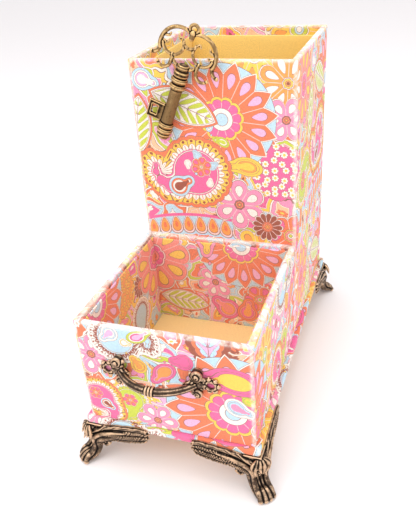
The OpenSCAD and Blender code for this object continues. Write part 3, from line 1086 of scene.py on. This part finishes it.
def footParts():
    top, gap = foot["high"], foot["toeGap"]
    core = onDiagonal((-3.2, 0, top - 3, 2.9), (-3.2, 0, 20, 2.6), (-3.8, 0, 14, 2.0), (-2.8, 0, 8.5, 1.9),
                      (0.4, 0, 4.4, 2.1), (4.0, 0, 2.6, 1.9))
    parts = [wing(False), wing(True), tube(core, wide=1.6, sides=36)]
    sweep = [(25, -2.0, top - 1.6, 0.7), (18, -2.5, top - 2.6, 1.0), (11.5, -2.9, top - 4.4, 1.2),
             (6.4, -2.6, top - 7.6, 1.35)]
    for k in range(foot["toes"]):
        w = k - (foot["toes"] - 1) / 2
        flank = abs(w) > 1  # the outer toes run up the leg into the wings, the inner ones lie in its hollow
        reach = foot["reach"] - flank
        thick, out = (1.0, 0.8) if flank else (0.66, -0.3)
        route = onDiagonal(
            (-1.6 + out, 3.1 * w, 17.5, 1.5 * thick),
            (-2.1 + out, 2.75 * w, 13.5, 1.5 * thick),
            (-1.3 + out, 2.55 * w, 9.6, 1.6 * thick),
            (1.2 + out, 2.6 * w, 6.6, 1.6 * thick + 0.1),
            (4.2, 2.7 * w, 5.6, 1.65),
            (reach - 0.7, gap * w, 3.6, 1.6),
            (reach, gap * w, 2.0, foot["toeSize"]),
        )
        if flank:
            route = (sweep if w > 0 else swapSides(sweep)) + route
        parts.append(tube(route, sides=24))
    for turn, length in ((-84, 0.5), (-52, 0.85), (-18, 0.6), (12, 0.9), (46, 0.65), (78, 0.75)):
        c, s = math.cos(math.radians(turn)), math.sin(math.radians(turn))
        leaf = onDiagonal(
            (-0.9, 0.8 * s, top - 1.2, 0.7),
            (1.2 * c, 3.2 * s, top - 2.0, 0.95),
            (2.2 * c + 0.2, 5.2 * s, top - 2.0 - 2.8 * length, 1.1),
            (2.7 * c + 0.3, 5.9 * s, top - 2.2 - 5.6 * length, 0.95),
            (3.9 * c + 0.5, 5.8 * s, top - 2.4 - 8.6 * length, 0.3),
        )
        parts.append(tube(leaf, sides=20))
    ankle = onDiagonal((-3.6, 4.8, 14.0, 2.3), (-3.2, 4.4, 9.5, 2.0), (-0.4, 4.2, 5.2, 1.9),
                       (4.6, 3.8, 3.0, 1.7))
    strand = [(21, -1.2, top - 6.0, 1.0), (15, -1.6, top - 7.6, 1.6), (9.6, -1.6, top - 9.8, 2.1),
              (5.6, -0.9, top - 12.2, 2.4)] + ankle
    curl = [(12.6, -1.0, top - 9.8, 1.0), (13.6, -1.3, top - 12.6, 1.25), (11.2, -1.5, top - 14.2, 1.2),
            (9.6, -1.6, top - 12.4, 1.0), (11.2, -1.7, top - 11.8, 0.8)]
    for route in (strand, curl, swapSides(strand), swapSides(curl)):
        parts.append(tube(route, pitch=0.95, ridge=0.045))
    parts.append(slab([(-0.8, -0.8), (13, -0.8), (11, 3), (3, 11), (-0.8, 13)], top - 1.7, top - 0.06))
    return parts


footMesh = cast("foot", footParts(), foot["voxel"])
soles = readValues(footMesh.vertices, "co")
soles[soles[:, 2] < foot["sole"], 2] = 0
footMesh.vertices.foreach_set("co", soles.ravel())
plateLow, plateHigh = nodeBox("base_cover")
footPlaces = {
    "foot_front_left": (plateLow[0], plateLow[1], 0),
    "foot_front_right": (plateHigh[0], plateLow[1], 90),
    "foot_back_right": (plateHigh[0], plateHigh[1], 180),
    "foot_back_left": (plateLow[0], plateHigh[1], 270),
}
for node, (x, y, turn) in footPlaces.items():
    spot = Matrix.Translation(Vector((x, y, 0)) * mm) @ Matrix.Rotation(math.radians(turn), 4, "Z")
    placeCast(node + "Cast", footMesh, spot, antique, node)
print("feet:", len(footMesh.polygons), "faces each")


# Pull: fluted arch, collar rings, scrolled ends with open rosettes

pull = {
    "half": 30.25,
    "height": 75.1,
    "root": 21.25,
    "rootOut": 3.4,
    "sag": 10.1,
    "bar": 2.4,
    "petals": 7,
    "voxel": 0.2,
}


def spiral(centre, radius, turns, wire, start, sense, rise):
    # a scroll in the wall's plane that winds in to its middle and stands up a little there
    x, y, z = centre
    route = []
    for t in np.linspace(0, 1, 22):
        a = math.radians(start) + sense * 2 * math.pi * turns * t
        r = (radius - wire) * (1 - 0.78 * t)
        route.append((x + r * math.cos(a), y - rise * t * t, z + r * math.sin(a), wire * (1 - 0.2 * t)))
    return route


def collarRing(centre, radius, half):
    # a thick ring round x with a rounded edge
    bend = half * 0.8
    inner = radius - bend
    rounded = [(inner + bend * math.cos(a), half * math.sin(a)) for a in np.linspace(-1.3, 1.3, 7)]
    points, faces = turned([(0.3, -half), (inner, -half)] + rounded + [(inner, half), (0.3, half)], 48)
    return points[:, [2, 0, 1]] + np.array(centre), faces


def pullEnd(side):
    hole, inner = side * pull["half"], -side

    def inward(*spots):
        return [(hole + inner * x, y, z, size) for x, y, z, size in spots]

    def petal(turn, *spots):
        a = math.radians(turn + (180 if side < 0 else 0))
        return [(hole + r * math.cos(a), y, r * math.sin(a), size) for r, y, size in spots]

    scrolls = ((7.2, -3.5, 7.0, 3.2), (7.4, -2.8, -6.3, 2.6))
    upper, lower = (spot[:3] for spot in inward(*scrolls))
    parts = [
        tube(spiral(upper, 4.3, 1.6, 1.3, -90 + inner * 62, -inner, 1.4), sides=24),
        tube(spiral(lower, 3.5, 1.5, 1.1, 90 - inner * 62, inner, 1.1), sides=24),
    ]
    for x, y, z, size in scrolls:
        parts.append(tube(inward((x, -0.9, z, size), (x, y + 1.1, z, size * 0.9)), sides=32))
        parts.append(tube(inward((x, y, z, size * 0.3), (x, y - 1.5, z, size * 0.28)), sides=24))
    neckTop = inward((12, -4.3, 0.6, 2.0), (10.2, -3.6, 2.2, 1.7), (9.4, -2.9, 4.6, 1.5),
                     (10.4, -2.9, 7.6, 1.3))
    neckLow = inward((12, -4.0, -0.6, 1.9), (10.4, -3.2, -2.4, 1.6), (9.8, -2.4, -4.4, 1.3),
                     (10.3, -2.3, -6.6, 1.1))
    parts += [tube(stem, flutes=5, groove=0.07, sides=30) for stem in (neckTop, neckLow)]
    plate = inward((4, -1.2, 0, 1.9), (7, -1.7, 0.2, 2.3), (10, -2.4, 0.2, 2.2), (13, -4.2, 0, 2.2))
    parts.append(tube(plate, sides=30))
    for z, size in ((2.6, 1.3), (-2.4, 1.2)):
        leaf = inward((3.4, -1.0, z, size), (6, -1.2, z * 1.5, size), (8, -1.4, z * 1.9, size * 0.9))
        parts.append(tube(leaf, sides=20))
    rim = [(hole + 2.9 * math.cos(a), -1.5, 2.9 * math.sin(a), 0.8) for a in np.linspace(0, 2 * math.pi, 25)]
    parts.append(tube(rim, sides=20))
    gap = 360 / pull["petals"]
    for k in range(pull["petals"]):
        parts.append(tube(petal(gap * k, (3.1, -1.0, 1.0), (4.3, -1.15, 1.45), (4.7, -1.0, 1.0)), sides=20))
        parts.append(tube(petal(gap * (k + 0.5), (3.2, -0.7, 0.75), (3.9, -0.7, 0.6)), sides=16))
    return parts


def pullParts():
    root, sag, bar = pull["root"], pull["sag"], pull["bar"]
    bow = (root**2 + sag**2) / (2 * sag)
    spread = math.asin(root / bow)
    tip = pull["rootOut"] + sag
    arch = []
    for t in np.linspace(-1, 1, 15):
        out = tip - bow + bow * math.cos(spread * t)
        arch.append((bow * math.sin(spread * t), -out, 0, bar * (1 - 0.10 * t**2)))
    rings = [collarRing((1.75 * k, -tip, 0), bar + 0.62, 0.68) for k in (-1, 0, 1)]
    return [tube(arch, flutes=7, groove=0.03, sides=56)] + rings + pullEnd(-1) + pullEnd(1)


pullLow, pullHigh = nodeBox("pull_handle")
trayFace = nodeBox("tray_cover")[0][1]
pullPlace = Vector(((pullLow[0] + pullHigh[0]) / 2, trayFace, pull["height"])) * mm
pullMesh = cast("pull", pullParts(), pull["voxel"])
placeCast("pullCast", pullMesh, Matrix.Translation(pullPlace), antique, "pull_handle")
print("pull:", len(pullMesh.polygons), "faces")


# Key ornament, drawn upright from its tip

key = {
    "place": (-31.6, -1.43, 172.5),
    "lean": 22.5,
    "wire": 1.08,
    "bit": 1.25,
    "voxel": 0.225,
}


def keyArc(centre, radius, start, end, fat, thin):
    # a bow wire, its thickness given at its start and at its end
    x, z = centre
    route = []
    for t in np.linspace(0, 1, 14):
        a = math.radians(start + (end - start) * t)
        route.append((x + radius * math.cos(a), 0, z + radius * math.sin(a), fat + (thin - fat) * t))
    return route


def collar(z, r=5.0):
    return [(3.7, z - 1.6), (r - 0.5, z - 1.2), (r, z - 0.3), (r, z + 0.3), (r - 0.5, z + 1.2), (3.7, z + 1.6)]


def keyParts():
    wire, bit = key["wire"], key["bit"]
    tip = [(0.2, 0), (2.2, 0.35), (3.7, 1.5), (4.2, 3.2), (3.9, 4.3)]
    shaft = collar(5.9, 4.9) + collar(9.4, 4.8) + [(3.65, 11.4), (3.55, 22), (3.65, 32.6)] + collar(34.6)
    crown = [(3.9, 40.6), (4.5, 41.4), (4.35, 43.6), (3.5, 44.6), (3.7, 46.2), (3.3, 47.6), (0.3, 48)]
    parts = [turned(tip + shaft + collar(38.6, 5.1) + crown)]
    for low, high, left, right in ((10.6, 13.2, -13.5, 0), (19.0, 21.2, -13.5, 0), (10.6, 21.2, -13.5, -11.4),
                                   (10.6, 21.2, -7.5, 0)):
        parts.append(slab([(left, -bit), (right, -bit), (right, bit), (left, bit)], low, high))
    parts += [tube([(-12.7, 0, z, 0.9), (-4, 0, z, 0.9)], sides=16) for z in (10.9, 20.9)]

    def strand(*spots):
        return [(x, 0, z, wire * size) for x, z, size in spots]

    routes = [
        keyArc((6, 55.8), 11.15, 123, -20, wire * 0.95, wire * 1.2),
        keyArc((20.7, 52), 4.2, 180, 262, wire * 1.15, wire * 0.85),
        keyArc((9.3, 57), 6.3, 346, 150, wire, wire * 0.8),
        keyArc((12.3, 46.3), 4.1, 182, 318, wire * 1.1, wire * 0.8),
        strand((8.2, 45.8, 1.1), (7.9, 48.6, 1.15), (8.4, 51, 1)),
        strand((1, 45, 1), (4.8, 46.6, 0.95), (8.3, 49.2, 0.9)),
        strand((3.9, 60.2, 0.8), (3.2, 58.4, 0.85), (0, 57, 0.9)),
        strand((15.3, 59.6, 0.7), (12.8, 60.3, 0.75), (12.2, 61.8, 0.55)),
        strand((15.6, 56.6, 0.7), (13.2, 56.0, 0.7), (12.4, 57.0, 0.5)),
        strand((4.0, 60.2, 0.7), (5.6, 61.6, 0.7), (6.9, 60.4, 0.5)),
        strand((19.6, 47.6, 0.9), (20.6, 47.7, 1.15)),
        strand((15.3, 43.5, 0.85), (15.7, 43.9, 1.15)),
    ]
    for side in (1, -1):
        for route in routes:
            mirrored = [(side * x, y, z, size) for x, y, z, size in route]
            parts.append(tube(mirrored, up=(0, 1, 0), sides=20))
    parts.append(tube([(0, 0, 63.2, 1.5), (0, 0, 66, 2.0)], sides=24))
    ring = [(2.45 * math.cos(a), 0, 68.5 + 2.45 * math.sin(a), 1.0) for a in np.linspace(0, 2 * math.pi, 25)]
    parts.append(tube(ring, sides=20))
    return parts


keyMesh = cast("key", keyParts(), key["voxel"], 0.75)
keySpot = Matrix.Translation(Vector(key["place"]) * mm) @ Matrix.Rotation(math.radians(key["lean"]), 4, "Y")
placeCast("keyCast", keyMesh, keySpot, antiqueKey, "key_ornament")
print("key:", len(keyMesh.polygons), "faces")


# Floor, light and camera

studio = {
    "floorSize": 9.0,
    "world": 0.96,
    "sky": (1, 0.98, 0.985, 1),
    "target": (0, 0, 0.1),
    "lights": {  # place, size, power, tint
        "keyLight": ((-0.55, -0.9, 1.0), 0.9, 6.0, (1, 0.98, 0.97)),
        "fillLight": ((0.9, -0.7, 0.7), 0.9, 2.6, (1, 0.975, 0.98)),
        "topLight": ((0.05, -0.05, 1.2), 0.7, 5.0, (1, 0.98, 0.985)),
    },
}


def makeFloor():
    material, tree, shader = newMaterial("paleFloor", **{"Roughness": 0.7, "Specular IOR Level": 0.1})
    tone = ramp(noise(tree, None, 3, dimensions="3D"), ["floorDark", "floorPale"], [0, 1])
    plug(tree, tone, shader.inputs["Base Color"])
    size = studio["floorSize"] / 2
    corners = [(-size, -size, 0), (size, -size, 0), (size, size, 0), (-size, size, 0)]
    mesh = newMesh("floor", corners, [(0, 1, 2, 3)])
    mesh.materials.append(material)
    floor = bpy.data.objects.new("floor", mesh)
    scene.collection.objects.link(floor)


def areaLight(name, place, size, power, tint):
    data = bpy.data.lights.new(name, "AREA")
    data.size = size
    data.energy = power
    data.color = tint
    lamp = bpy.data.objects.new(name, data)
    scene.collection.objects.link(lamp)
    lamp.location = place
    lamp.rotation_euler = (Vector(studio["target"]) - Vector(place)).to_track_quat("-Z", "Y").to_euler()


makeFloor()
world = bpy.data.worlds.new("studioWorld")
world.use_nodes = True
scene.world = world
backdrop = world.node_tree.nodes["Background"]
backdrop.inputs[0].default_value = studio["sky"]
backdrop.inputs[1].default_value = studio["world"]
for name, facts in studio["lights"].items():
    areaLight(name, *facts)
scene.view_settings.view_transform = "Standard"

viewpoint = {
    "place": (117.0, -336.5, 296.2),
    "yaw": 20.4,
    "pitch": -30.7,
    "roll": -4.2,
    "lens": 41.56,
}
camera = bpy.data.cameras.new("camera")
camera.lens = viewpoint["lens"]
camera.clip_start = 0.01
eye = bpy.data.objects.new("camera", camera)
scene.collection.objects.link(eye)
turn = (
    Matrix.Rotation(math.radians(viewpoint["yaw"]), 4, "Z")
    @ Matrix.Rotation(math.radians(90 + viewpoint["pitch"]), 4, "X")
    @ Matrix.Rotation(math.radians(viewpoint["roll"]), 4, "Z")
)
eye.matrix_world = Matrix.Translation(Vector(viewpoint["place"]) * mm) @ turn
scene.camera = eye
print("studio ready")
